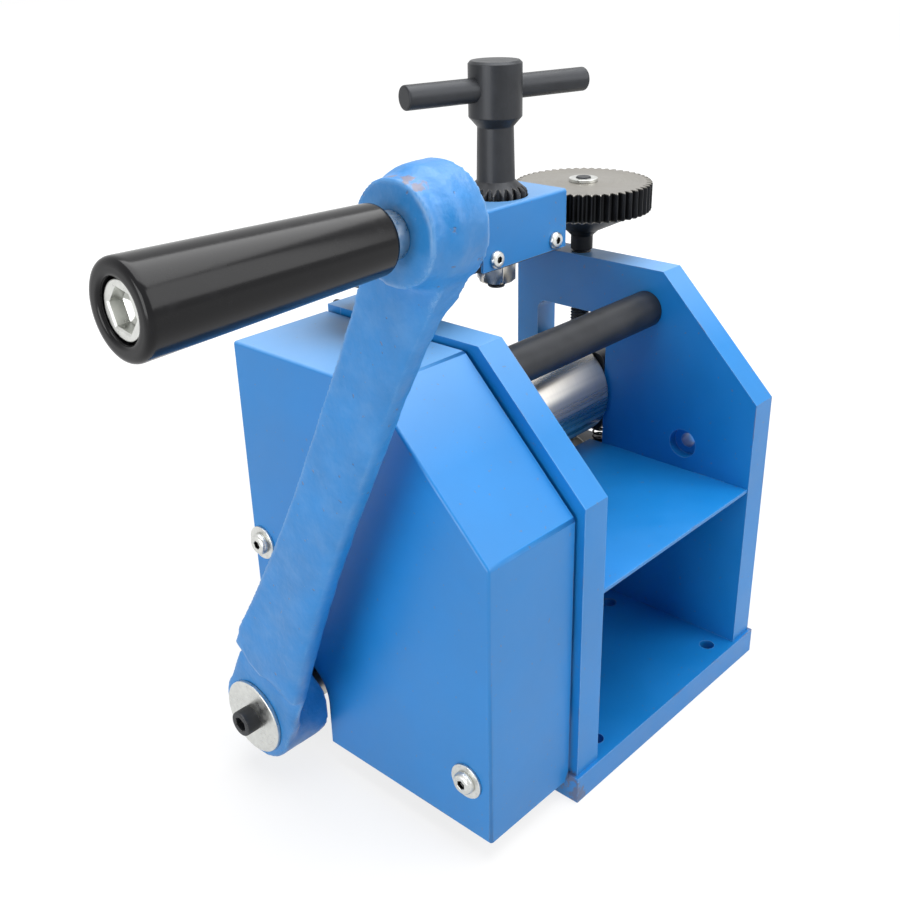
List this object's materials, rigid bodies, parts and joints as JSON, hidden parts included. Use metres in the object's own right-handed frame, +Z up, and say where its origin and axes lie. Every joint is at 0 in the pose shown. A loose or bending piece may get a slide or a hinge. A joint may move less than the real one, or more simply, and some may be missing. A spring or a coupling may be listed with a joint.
{
  "type": "rolling mill",
  "caption": "Bench rolling mill: hardened rollers between side plates, a geared crank with a spinning grip, and a T-handle that sets the roller gap through a gear train.",
  "frame": {"origin": "centre of the base plate's underside, on the bench", "axes": "+X along the rollers, from the crank and gear side to the far side; +Y from the feed side to the back; +Z up"},
  "size_m": [0.3428, 0.1572, 0.2836],
  "materials": {
    "blue_paint": "smooth blue powder coat on steel",
    "cast_blue_paint": "blue paint over an uneven casting, chipped and stained at its edges",
    "black_oxide": "black oxide, lightly oiled",
    "gear_steel": "blackened teeth with turned faces",
    "polished_steel": "hardened, ground and polished",
    "ground_steel": "ground, bare",
    "zinc_plate": "bright zinc plating",
    "bearing_bronze": "bored bronze, oiled",
    "black_plastic": "glossy black moulding"
  },
  "bodies": {
    "frame": {"base_plate": "blue_paint", "foot_screws": "black_oxide", "near_side_plate": "blue_paint", "far_side_plate": "blue_paint", "tie_bar": "black_oxide", "tie_screws": "black_oxide", "work_table": "blue_paint", "near_lower_block": "black_oxide", "far_lower_block": "black_oxide", "lower_bushes": "bearing_bronze", "lift_springs": "ground_steel", "near_crank_bush": "bearing_bronze", "far_crank_bush": "bearing_bronze", "bridge": "blue_paint", "bridge_screws": "black_oxide", "carrier_block": "black_oxide", "carrier_screws": "black_oxide", "spindle_bush": "bearing_bronze", "idler_pins": "ground_steel", "shroud": "blue_paint", "shroud_screws": "zinc_plate", "gear_cover": "blue_paint", "cover_standoffs": "ground_steel", "cover_washers": "zinc_plate", "cover_screws": "zinc_plate"},
    "carriage": {"near_upper_block": "black_oxide", "far_upper_block": "black_oxide", "upper_bushes": "bearing_bronze", "thrust_pads": "ground_steel"},
    "upper_roller": {"upper_roller": "polished_steel", "upper_roller_gear": "gear_steel", "upper_end_washer": "zinc_plate", "upper_end_screw": "black_oxide"},
    "lower_roller": {"lower_roller": "polished_steel", "lower_roller_gear": "gear_steel", "reduction_gear": "gear_steel", "lower_end_washer": "zinc_plate", "lower_end_screw": "black_oxide"},
    "near_screw": {"near_adjusting_screw": "black_oxide", "near_adjusting_gear": "gear_steel", "near_gear_washer": "zinc_plate"},
    "far_screw": {"far_adjusting_screw": "black_oxide", "far_adjusting_gear": "gear_steel", "far_gear_washer": "zinc_plate"},
    "near_idler": {"near_idler_gear": "gear_steel"},
    "far_idler": {"far_idler_gear": "gear_steel"},
    "t_handle": {"t_handle_spindle": "black_oxide", "t_handle_bar": "black_oxide", "spindle_nut": "ground_steel", "spindle_washer": "black_oxide"},
    "crank": {"crank_shaft": "ground_steel", "drive_pinion": "gear_steel", "shaft_collar": "black_oxide", "crank_key": "ground_steel", "crank_arm": "cast_blue_paint", "crank_washer": "zinc_plate", "crank_screw": "black_oxide", "handle_bolt": "zinc_plate", "grip_spacer": "zinc_plate"},
    "grip": {"hand_grip": "black_plastic"}
  },
  "joints": [
    {"name": "crank_spin", "type": "hinge", "parent": "frame", "child": "crank", "pos_m": [-0.1, 0.045, 0.031], "axis": [1, 0, 0], "continuous": true},
    {"name": "grip_spin", "type": "hinge", "parent": "crank", "child": "grip", "pos_m": [-0.2, -0.06838, 0.25941], "axis": [1, 0, 0], "continuous": true},
    {"name": "lower_roller_spin", "type": "hinge", "parent": "frame", "child": "lower_roller", "pos_m": [0, 0.0345, 0.072], "axis": [1, 0, 0], "continuous": true},
    {"name": "carriage_lift", "type": "slide", "parent": "frame", "child": "carriage", "axis": [0, 0, 1], "range_m": [-0.0003, 0.0055], "deforming": ["lift_springs"]},
    {"name": "upper_roller_spin", "type": "hinge", "parent": "carriage", "child": "upper_roller", "pos_m": [0, 0.0345, 0.1226], "axis": [1, 0, 0], "continuous": true},
    {"name": "far_screw_turn", "type": "hinge", "parent": "carriage", "child": "far_screw", "pos_m": [0.0635, 0.0345, 0.18], "axis": [0, 0, 1], "range_deg": [-73, 1321]},
    {"name": "near_screw_turn", "type": "hinge", "parent": "carriage", "child": "near_screw", "pos_m": [-0.0635, 0.0345, 0.18], "axis": [0, 0, 1], "range_deg": [-73, 1321]},
    {"name": "t_handle_turn", "type": "hinge", "parent": "frame", "child": "t_handle", "pos_m": [0, 0.0345, 0.22], "axis": [0, 0, 1], "range_deg": [-182, 3302]},
    {"name": "far_idler_turn", "type": "hinge", "parent": "frame", "child": "far_idler", "pos_m": [0.02241, 0.0345, 0.215], "axis": [0, 0, 1], "range_deg": [-4127, 227]},
    {"name": "near_idler_turn", "type": "hinge", "parent": "frame", "child": "near_idler", "pos_m": [-0.02241, 0.0345, 0.215], "axis": [0, 0, 1], "range_deg": [-4127, 227]}
  ],
  "couplings": [
    {"joint": "lower_roller_spin", "follows": "crank_spin", "ratio": -0.4},
    {"joint": "upper_roller_spin", "follows": "crank_spin", "ratio": 0.4},
    {"joint": "far_screw_turn", "follows": "carriage_lift", "rad_per_m": 4188.8},
    {"joint": "near_screw_turn", "follows": "carriage_lift", "rad_per_m": 4188.8},
    {"joint": "t_handle_turn", "follows": "carriage_lift", "rad_per_m": 10472},
    {"joint": "far_idler_turn", "follows": "carriage_lift", "rad_per_m": -13090},
    {"joint": "near_idler_turn", "follows": "carriage_lift", "rad_per_m": -13090}
  ]
}
